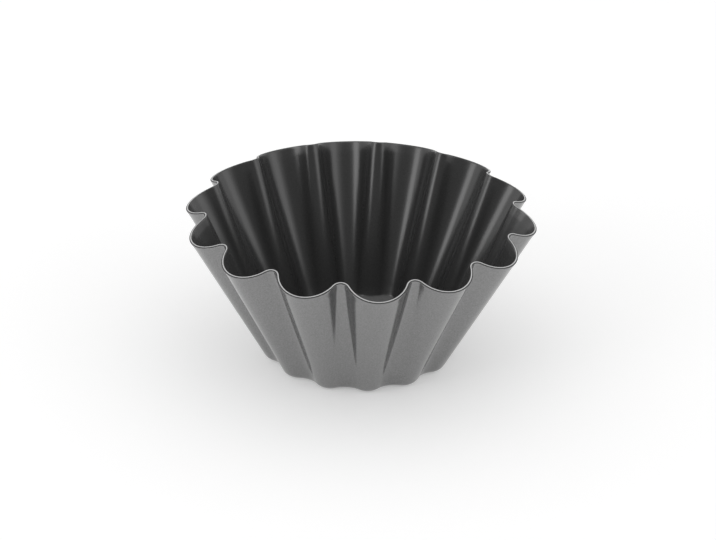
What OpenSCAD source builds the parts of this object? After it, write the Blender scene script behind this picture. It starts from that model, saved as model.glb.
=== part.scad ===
/* [Rim] */
// Diameter over the crests of the flutes, along the cut edge
rim_d = 100; // [92:1:115]
// Depth of the grooves between the flutes at the rim
rim_groove_depth = 5.8; // [4.5:0.1:7]
// Outside radius in the bottom of each groove at the rim
rim_groove_r = 2.1; // [1.5:0.1:2.8]
// Height of the cut edge on the crests
crest_h = 41.5; // [32:0.5:55]
// How much higher the cut edge runs in the grooves than on the crests
rim_rise = 2.7; // [0:0.1:4]

/* [Base] */
// Diameter over the crests where the line of the wall meets the table
base_d = 54.8; // [50:0.2:64]
// Depth of the grooves at the base
base_groove_depth = 1.8; // [1:0.1:2.4]
// Outside radius in the bottom of each groove at the base
base_groove_r = 6.2; // [4:0.1:6.6]
// Outside radius of the rounded corner between wall and floor
corner_r = 3.9; // [2.5:0.1:4.5]

/* [Flutes] */
// Number of flutes round the mould
flutes = 14; // [12:1:15]

/* [Edge band] */
// Width of the band below the cut edge, measured down the wall
band_w = 2.7; // [1.5:0.1:5]
// How far the band leans out from the line of the wall
band_flare = 0.15; // [0:0.05:0.4]

/* [Sheet] */
// Thickness of the pressed steel sheet
sheet_t = 0.6; // [0.4:0.05:0.8]
// Thickness of the dark non-stick coat inside
inner_coat_t = 0.04; // [0.03:0.01:0.1]
// Thickness of the grey coat outside
outer_coat_t = 0.04; // [0.03:0.01:0.1]

/* [Smoothness] */
// Flat steps round the crest of each flute
crest_steps = 8; // [6:1:9]
// Flat steps round each groove
groove_steps = 4; // [3:1:5]
// Flat steps round the corner between wall and floor
corner_steps = 3; // [2:1:4]

/* [Hidden] */
rim_r = rim_d / 2;
base_r = base_d / 2;
half_pitch = 180 / flutes;
// The wall leans out by this angle from upright
lean = atan((rim_r - base_r) / crest_h);
// The rounded corner rolls into the straight wall at this height
foot_z = corner_r * (1 - sin(lean));
foot_share = foot_z / crest_h;
foot_crest_r = base_r + (rim_r - base_r) * foot_share;
foot_groove_depth = base_groove_depth + (rim_groove_depth - base_groove_depth) * foot_share;
foot_groove_r = base_groove_r + (rim_groove_r - base_groove_r) * foot_share;
// Where the edge band starts, as a share of the wall's length from foot to cut edge
band_share = 1 - band_w * cos(lean) / (crest_h - foot_z);
// The faces between the layers, as depths below the outermost face
steel_outside = outer_coat_t;
steel_inside = steel_outside + sheet_t;
coat_inside = steel_inside + inner_coat_t;

// Radius of the round crest that meets the round grooves without a kink
function crest_arc_r(crest_r, groove_depth, groove_r) =
    let (centre_r = crest_r - groove_depth + groove_r)
    (crest_r ^ 2 + centre_r ^ 2 - 2 * crest_r * centre_r * cos(half_pitch) - groove_r ^ 2)
    / (2 * (groove_r + crest_r - centre_r * cos(half_pitch)));

// One fluted outline, drawn in by an even inset all round
function fluted_outline(crest_r, groove_depth, groove_r, inset) =
    let (
        arc_r = crest_arc_r(crest_r, groove_depth, groove_r),
        crest_centre = crest_r - arc_r,
        groove_centre = crest_r - groove_depth + groove_r,
        // Half the angle of the crest's arc, from its middle to where the groove starts
        swing = atan2(groove_centre * sin(half_pitch),
                      groove_centre * cos(half_pitch) - crest_centre)
    )
    [
        for (flute = [0 : flutes - 1])
            each turned(
                concat(
                    [
                        for (i = [0 : crest_steps - 1])
                            let (a = swing * (2 * i / crest_steps - 1))
                            [crest_centre, 0] + (arc_r - inset) * [cos(a), sin(a)]
                    ],
                    [
                        for (i = [0 : groove_steps - 1])
                            let (a = swing + 2 * (half_pitch - swing) * i / groove_steps)
                            groove_centre * [cos(half_pitch), sin(half_pitch)]
                            - (groove_r + inset) * [cos(a), sin(a)]
                    ]
                ),
                2 * half_pitch * flute
            )
    ];

function turned(points, angle) =
    [for (p = points) [p.x * cos(angle) - p.y * sin(angle), p.x * sin(angle) + p.y * cos(angle)]];

// A ring of the rounded corner: roll is 0 at the foot of the wall and 1 at the floor
function corner_ring(depth, roll) =
    let (
        angle = lean + (90 - lean) * roll,
        inset = corner_r * cos(lean) - (corner_r - depth) * cos(angle),
        z = corner_r - (corner_r - depth) * sin(angle)
    )
    [
        for (p = fluted_outline(foot_crest_r, foot_groove_depth, foot_groove_r, inset))
            [p.x, p.y, z]
    ];

// The cut edge, square to the wall, which rises into each groove
function rim_ring(depth, pinch) =
    let (
        outer = fluted_outline(rim_r, rim_groove_depth, rim_groove_r, 0),
        ring = fluted_outline(rim_r, rim_groove_depth, rim_groove_r, depth * cos(lean) + pinch)
    )
    [
        for (i = [0 : len(ring) - 1])
            let (rise = rim_rise * (rim_r - norm(outer[i])) / rim_groove_depth)
            [ring[i].x, ring[i].y, crest_h + depth * sin(lean) + rise]
    ];

// A ring of the straight wall between its foot and the cut edge
function wall_ring(depth, share, pinch) =
    let (foot = corner_ring(depth, 0), rim = rim_ring(depth, pinch))
    [for (i = [0 : len(foot) - 1]) foot[i] + (rim[i] - foot[i]) * share];

// All rings of one face, from the edge of the floor up to the cut edge
function face_rings(depth) =
    concat(
        [for (i = [0 : corner_steps]) corner_ring(depth, 1 - i / corner_steps)],
        [
            wall_ring(depth, band_share / 2, band_flare),
            wall_ring(depth, band_share, band_flare),
            rim_ring(depth, 0)
        ]
    );

// The layer between two depths: an open cup with a flat floor and an even wall.
// Every layer is meshed the same way, so faces that meet are alike.
module layer(from, to) {
    outside = face_rings(from);
    inside = face_rings(to);
    rings = len(outside);
    n = len(outside[0]);
    skin = rings * n;
    points = concat(
        [for (ring = outside) each ring],
        [for (ring = inside) each ring],
        [[0, 0, from], [0, 0, to]]
    );
    faces = [
        for (i = [0 : n - 1])
            let (j = (i + 1) % n, top = skin - n)
            each concat(
                [[2 * skin, i, j], [2 * skin + 1, skin + j, skin + i]],
                [
                    for (r = [0 : rings - 2])
                        let (a = r * n + i, b = r * n + j, c = b + n, d = a + n)
                        each [
                            [a, c, b],
                            [a, d, c],
                            [skin + a, skin + b, skin + c],
                            [skin + a, skin + c, skin + d]
                        ]
                ],
                [
                    [top + i, skin + top + j, top + j],
                    [top + i, skin + top + i, skin + top + j]
                ]
            )
    ];
    polyhedron(points, faces, convexity = 6);
}

module steel_shell() {
    color([0.72, 0.72, 0.72]) layer(steel_outside, steel_inside);
}

module inner_nonstick_coat() {
    color([0.17, 0.17, 0.18]) layer(steel_inside, coat_inside);
}

module outer_coat() {
    color([0.55, 0.55, 0.56]) layer(0, steel_outside);
}

steel_shell();
inner_nonstick_coat();
outer_coat();
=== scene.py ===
import math

import bpy
import numpy as np
from mathutils import Matrix, Vector


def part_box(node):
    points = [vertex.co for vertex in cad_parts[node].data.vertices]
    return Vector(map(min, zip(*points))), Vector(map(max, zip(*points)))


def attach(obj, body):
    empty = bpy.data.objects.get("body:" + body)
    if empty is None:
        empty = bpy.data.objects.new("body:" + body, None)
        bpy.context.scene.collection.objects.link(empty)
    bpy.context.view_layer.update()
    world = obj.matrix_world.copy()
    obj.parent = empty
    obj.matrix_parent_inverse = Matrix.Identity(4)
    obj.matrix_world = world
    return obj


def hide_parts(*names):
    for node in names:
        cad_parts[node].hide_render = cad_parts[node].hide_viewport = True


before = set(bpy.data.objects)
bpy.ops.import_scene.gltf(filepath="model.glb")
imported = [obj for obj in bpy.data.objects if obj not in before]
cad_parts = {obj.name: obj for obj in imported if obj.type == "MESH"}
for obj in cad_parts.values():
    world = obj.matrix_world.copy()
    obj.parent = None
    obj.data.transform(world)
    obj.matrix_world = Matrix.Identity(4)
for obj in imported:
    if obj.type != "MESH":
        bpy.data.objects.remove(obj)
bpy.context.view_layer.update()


# Steel shell: a round blank of thin sheet steel, pressed in one stroke into a flared
# cup with fourteen flutes. It shows only as the cut edge between the two coats, bright
# where the cut was burnished and a little rounded at both sides. The outer part of the
# cut edge is painted near black as painted shade, a shadow line along the rim's outer side.
MM = 0.001
FLUTES = 14
RIM_GROOVE_DEPTH = 5.8 * MM
RIM_GROOVE_RADIUS = 2.1 * MM
RIM_RISE = 2.7 * MM
CREST_HEIGHT = 41.5 * MM
BASE_CREST_RADIUS = 27.4 * MM
BASE_GROOVE_DEPTH = 1.8 * MM
BASE_GROOVE_RADIUS = 6.2 * MM
CORNER_RADIUS = 3.9 * MM
BAND_WIDTH = 2.7 * MM
BAND_FLARE = 0.15 * MM
BAND_BEND = 0.4 * MM
SHEET = 0.6 * MM
COAT = 0.04 * MM
EDGE_ROUNDING = 0.16 * MM
CREST_STEPS, GROOVE_STEPS, CORNER_STEPS, WALL_STEPS = 22, 12, 8, 14
# The second of these counts the edge steps, from the outer side, that carry the painted shade.
EDGE_STEPS, PAINTED_SHADE_STEPS = 8, 4
BEND_POINTS, BAND_POINTS = 5, 5

rim_crest_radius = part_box("outer_coat")[1].x
half_pitch = math.pi / FLUTES
lean = math.atan((rim_crest_radius - BASE_CREST_RADIUS) / CREST_HEIGHT)
foot_height = CORNER_RADIUS * (1 - math.sin(lean))
foot_share = foot_height / CREST_HEIGHT
wall_length = (CREST_HEIGHT - foot_height) / math.cos(lean)
band_share = 1 - BAND_WIDTH / wall_length
sheet_depth = 2 * COAT + SHEET


def fluted_outline(crest_radius, groove_depth, groove_radius, inset):
    """Round crests and grooves that meet without a kink, drawn in by an even inset."""
    groove_centre = crest_radius - groove_depth + groove_radius
    crest_arc = (
        (crest_radius**2 + groove_centre**2 - groove_radius**2
         - 2 * crest_radius * groove_centre * math.cos(half_pitch))
        / (2 * (groove_radius + crest_radius - groove_centre * math.cos(half_pitch)))
    )
    crest_centre = crest_radius - crest_arc
    swing = math.atan2(groove_centre * math.sin(half_pitch),
                       groove_centre * math.cos(half_pitch) - crest_centre)
    on_crest = swing * (2 * np.arange(CREST_STEPS) / CREST_STEPS - 1)
    in_groove = swing + 2 * (half_pitch - swing) * np.arange(GROOVE_STEPS) / GROOVE_STEPS
    one_flute = np.concatenate([
        crest_centre + (crest_arc - inset) * np.exp(1j * on_crest),
        groove_centre * np.exp(1j * half_pitch)
        - (groove_radius + inset) * np.exp(1j * in_groove),
    ])
    turns = np.exp(2j * half_pitch * np.arange(FLUTES))
    return (turns[:, None] * one_flute[None, :]).ravel()


def ring(outline, heights):
    """The points of an outline, at one height or at a height for each point."""
    return np.column_stack([outline.real, outline.imag, heights + np.zeros(len(outline))])


def corner_ring(depth, roll):
    """A ring of the rounded corner: roll is 0 at the wall's foot and 1 at the floor."""
    angle = lean + (math.pi / 2 - lean) * roll
    inset = CORNER_RADIUS * math.cos(lean) - (CORNER_RADIUS - depth) * math.cos(angle)
    sizes = [
        at_base + (at_rim - at_base) * foot_share
        for at_base, at_rim in (
            (BASE_CREST_RADIUS, rim_crest_radius),
            (BASE_GROOVE_DEPTH, RIM_GROOVE_DEPTH),
            (BASE_GROOVE_RADIUS, RIM_GROOVE_RADIUS),
        )
    ]
    return ring(fluted_outline(*sizes, inset),
                CORNER_RADIUS - (CORNER_RADIUS - depth) * math.sin(angle))


def rim_ring(depth, pinch):
    """The cut edge, which stands square to the wall and rises into each groove."""
    outer = fluted_outline(rim_crest_radius, RIM_GROOVE_DEPTH, RIM_GROOVE_RADIUS, 0)
    inset = depth * math.cos(lean) + pinch
    rise = RIM_RISE * (rim_crest_radius - abs(outer)) / RIM_GROOVE_DEPTH
    return ring(fluted_outline(rim_crest_radius, RIM_GROOVE_DEPTH, RIM_GROOVE_RADIUS, inset),
                CREST_HEIGHT + depth * math.sin(lean) + rise)


def wall_ring(depth, share):
    """A ring of the wall, part of the way up from its foot, bent softly at the band."""
    below, above = share, band_share * (1 - share) / (1 - band_share)
    pinch = BAND_FLARE * 0.5 * (below + above - math.hypot(below - above, BAND_BEND / BAND_WIDTH))
    foot, rim = corner_ring(depth, 0), rim_ring(depth, pinch / share)
    return foot + (rim - foot) * share


def edge_share(depth):
    """How far up the wall a face ends, where the cut edge is rounded at both sides."""
    from_side = min(depth, sheet_depth - depth, EDGE_ROUNDING)
    drop = EDGE_ROUNDING - math.sqrt(EDGE_ROUNDING**2 - (EDGE_ROUNDING - from_side) ** 2)
    return 1 - drop / wall_length


def face_rings(depth):
    """Every ring of one face, from the floor's edge up to the cut edge."""
    bend_share = BAND_BEND / wall_length
    shares = np.concatenate([
        np.linspace(0, band_share - bend_share, WALL_STEPS)[1:-1],
        band_share + np.linspace(-bend_share, bend_share, BEND_POINTS),
        np.linspace(band_share + bend_share, edge_share(depth), BAND_POINTS)[1:],
    ])
    corner = [corner_ring(depth, 1 - i / CORNER_STEPS) for i in range(CORNER_STEPS + 1)]
    return corner + [wall_ring(depth, share) for share in shares]


def layer(name, depths):
    """A closed cup between the first and the last depth, with a step of the edge at each."""
    rings = face_rings(depths[0])
    rings += [wall_ring(depth, edge_share(depth)) for depth in depths[1:-1]]
    rings += face_rings(depths[-1])[::-1]
    count, around = len(rings), len(rings[0])
    floor_centres = [(0, 0, depths[0]), (0, 0, depths[-1])]
    points = np.concatenate([*rings, floor_centres])
    steps = [(i, (i + 1) % around) for i in range(around)]
    last = (count - 1) * around
    faces = [(below + i, below + j, below + around + j, below + around + i)
             for below in range(0, last, around) for i, j in steps]
    faces += [(count * around, j, i) for i, j in steps]
    faces += [(count * around + 1, last + i, last + j) for i, j in steps]
    mesh = bpy.data.meshes.new(name)
    mesh.from_pydata(points.tolist(), [], faces)
    mesh.shade_smooth()
    piece = bpy.data.objects.new(name, mesh)
    bpy.context.scene.collection.objects.link(piece)
    return piece


class Shade:
    """A socket in a finish's node tree: sums and products of these add Math nodes."""

    def __init__(self, tree, socket=None):
        self.tree = tree
        self.socket = socket

    def node(self, kind, settings, inputs, output=0):
        made = self.tree.nodes.new("ShaderNode" + kind)
        for name, value in settings.items():
            setattr(made, name, value)
        for name, value in inputs.items():
            if isinstance(value, Shade):
                self.tree.links.new(value.socket, made.inputs[name])
            else:
                made.inputs[name].default_value = value
        return Shade(self.tree, made.outputs[output] if made.outputs else None)

    def maths(self, operation, first, second):
        return self.node("Math", {"operation": operation}, {0: first, 1: second})

    def __add__(self, other):
        return self.maths("ADD", self, other)

    def __mul__(self, other):
        return self.maths("MULTIPLY", self, other)

    __radd__ = __add__
    __rmul__ = __mul__


def new_finish(name, piece):
    """An empty finish on a piece, as a Shade to add nodes with."""
    finish = bpy.data.materials.new(name)
    finish.use_nodes = True
    finish.node_tree.nodes.clear()
    piece.data.materials.append(finish)
    return Shade(finish.node_tree)


def grain(shade, size, detail=2):
    """Noise from 0 to 1 whose lumps are about the given size across."""
    place = shade.node("TexCoord", {}, {}, "Object")
    return shade.node("TexNoise", {}, {"Vector": place, "Scale": 1 / size, "Detail": detail})


def mixed(shade, share, first, second):
    """A colour between two others, by the colour sockets of a Mix node."""
    return shade.node("Mix", {"data_type": "RGBA"}, {0: share, 6: first, 7: second}, 2)


def finished(shade, inputs):
    """Ends a finish with the surface that these inputs describe."""
    surface = shade.node("BsdfPrincipled", {}, inputs)
    shade.node("OutputMaterial", {}, {"Surface": surface})


edge_depths = COAT + SHEET * (0.5 - 0.5 * np.cos(np.pi * np.arange(EDGE_STEPS + 1) / EDGE_STEPS))
steel = layer("steel_shell_pressed", list(edge_depths))
shade = new_finish("burnished_cut_edge", steel)
burr = grain(shade, 0.2 * MM)
finished(shade, {
    "Base Color": mixed(shade, burr, (0.5, 0.5, 0.5, 1), (0.7, 0.7, 0.7, 1)),
    "Metallic": 1.0,
    "Roughness": 0.25 + 0.2 * burr,
})
# Painted shade: the outer part of the cut edge is painted near black and dull, a painted shadow
# line along the rim's outer side.
shade = new_finish("painted_shade_cut_edge", steel)
burr = grain(shade, 0.15 * MM)
finished(shade, {
    "Base Color": mixed(shade, burr, (0.01, 0.01, 0.01, 1), (0.05, 0.05, 0.05, 1)),
    "Metallic": 0.0,
    "Roughness": 0.6 + 0.3 * burr,
})
# The first bands of the cut edge, from the outer coat's side, take the painted-shade finish.
first_edge_band = len(face_rings(COAT)) - 1
for face in steel.data.polygons:
    band = face.index // (FLUTES * (CREST_STEPS + GROOVE_STEPS)) - first_edge_band
    face.material_index = int(0 <= band < PAINTED_SHADE_STEPS)
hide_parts("steel_shell")
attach(steel, "root")


# Inner non-stick coat: a dark charcoal film, rolled on the flat sheet and cured before
# the mould is pressed, so it follows every flute and ends at the cut edge.
inner = layer("inner_nonstick_coat_film", [COAT + SHEET, sheet_depth])
shade = new_finish("charcoal_nonstick", inner)
peel = grain(shade, 0.35 * MM, 3)
finished(shade, {
    "Base Color": mixed(shade, peel, (0.024, 0.024, 0.024, 1), (0.045, 0.045, 0.045, 1)),
    "Metallic": 0.0,
    "IOR": 1.7,
    "Roughness": 0.18 + 0.1 * peel,
    "Normal": shade.node("Bump", {}, {"Strength": 0.4, "Distance": 0.02 * MM, "Height": peel}),
})
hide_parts("inner_nonstick_coat")
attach(inner, "root")


# Outer coat: a thin grey film with fine metal flake, which gives the outside and the
# underside their satin grain.
outer = layer("outer_coat_film", [0, COAT])
shade = new_finish("grey_flake", outer)
flake = grain(shade, 0.35 * MM, 3)
finished(shade, {
    "Base Color": mixed(shade, flake, (0.16, 0.16, 0.16, 1), (0.36, 0.36, 0.36, 1)),
    "Metallic": 1.0,
    "Roughness": 0.12 + 0.12 * flake,
    "Normal": shade.node("Bump", {}, {"Strength": 0.3, "Distance": 0.02 * MM, "Height": flake}),
})
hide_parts("outer_coat")
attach(outer, "root")


# Studio: a plain pale floor and backdrop, two large soft lamps to the sides, and the
# camera at the photograph's angle and distance. The camera's own side is dimmer.
PHOTO_WIDTH = 716
FOCAL_PIXELS = 2697
SENSOR_MM = 36
AZIMUTH = math.radians(6.30)
ELEVATION = math.radians(28.51)
ROLL = 0.0171
DISTANCE = 772 * MM
AIM_RIGHT = -0.44 * MM
AIM_HEIGHT = 24.73 * MM
to_right = Vector((math.cos(AZIMUTH), math.sin(AZIMUTH), 0))
to_camera = Vector((math.sin(AZIMUTH), -math.cos(AZIMUTH), 0))
aim = AIM_RIGHT * to_right + Vector((0, 0, AIM_HEIGHT))
back = to_camera * math.cos(ELEVATION) + Vector((0, 0, math.sin(ELEVATION)))
camera = bpy.data.objects.new("camera", bpy.data.cameras.new("camera"))
camera.data.sensor_width = SENSOR_MM
camera.data.lens = FOCAL_PIXELS / PHOTO_WIDTH * SENSOR_MM
camera.matrix_world = (Matrix.Translation(aim + DISTANCE * back)
                       @ (-back).to_track_quat("-Z", "Y").to_matrix().to_4x4()
                       @ Matrix.Rotation(ROLL, 4, "Z"))
bpy.context.scene.collection.objects.link(camera)
bpy.context.scene.camera = camera
bpy.context.scene.view_settings.view_transform = "Standard"


SOFTBOX_DISTANCE = 0.9


def softbox(name, bearing, height, width, tall, radiance):
    """A rectangular lamp that faces the mould, at an angle from the camera's side."""
    lamp = bpy.data.lights.new(name, "AREA")
    lamp.shape, lamp.size, lamp.size_y = "RECTANGLE", width, tall
    lamp.energy = radiance * math.pi * width * tall
    box = bpy.data.objects.new(name, lamp)
    bearing = math.radians(bearing)
    place = SOFTBOX_DISTANCE * (to_right * math.sin(bearing) + to_camera * math.cos(bearing))
    box.location = place + Vector((0, 0, height))
    box.rotation_euler = (aim - box.location).to_track_quat("-Z", "Y").to_euler()
    bpy.context.scene.collection.objects.link(box)


softbox("left_softbox", bearing=-56, height=0.42, width=0.42, tall=0.55, radiance=1.6)
softbox("right_softbox", bearing=68, height=0.40, width=0.50, tall=0.55, radiance=0.5)

FLOOR_SIZE = 8.0
FLOOR_GLOW = 0.30
bpy.ops.mesh.primitive_plane_add(size=FLOOR_SIZE, location=(0, 0, 0))
floor = bpy.context.object
floor.name = "floor"
shade = new_finish("pale_floor", floor)
seen = shade.node("LightPath", {}, {}, "Is Camera Ray")
mirrored = shade.node("LightPath", {}, {}, "Is Glossy Ray")
finished(shade, {
    "Base Color": (0.8, 0.8, 0.8, 1), "Roughness": 1.0, "Specular IOR Level": 0.0,
    "Emission Color": (1, 1, 1, 1), "Emission Strength": FLOOR_GLOW * (seen + mirrored),
})

world = bpy.data.worlds.new("studio")
bpy.context.scene.world = world
world.use_nodes = True
world.node_tree.nodes.clear()
sky = Shade(world.node_tree)
CAMERA_SIDE_LIGHT = 0.25
BACKDROP_LIGHT = 0.9
DIM_UP_TO = -0.85
LIT_FROM = -0.6
direction = sky.node("TexCoord", {}, {}, "Generated")
towards_backdrop = sky.node("VectorMath", {"operation": "DOT_PRODUCT"},
                            {0: direction, 1: -to_camera}, "Value")
lit = sky.node("MapRange", {"interpolation_type": "SMOOTHSTEP"},
               {"Value": towards_backdrop, "From Min": DIM_UP_TO, "From Max": LIT_FROM,
                "To Min": CAMERA_SIDE_LIGHT, "To Max": BACKDROP_LIGHT})
seen = sky.node("LightPath", {}, {}, "Is Camera Ray")
sky.node("OutputWorld", {}, {"Surface": sky.node("Background", {}, {
    "Color": (1, 1, 1, 1), "Strength": lit + seen})})
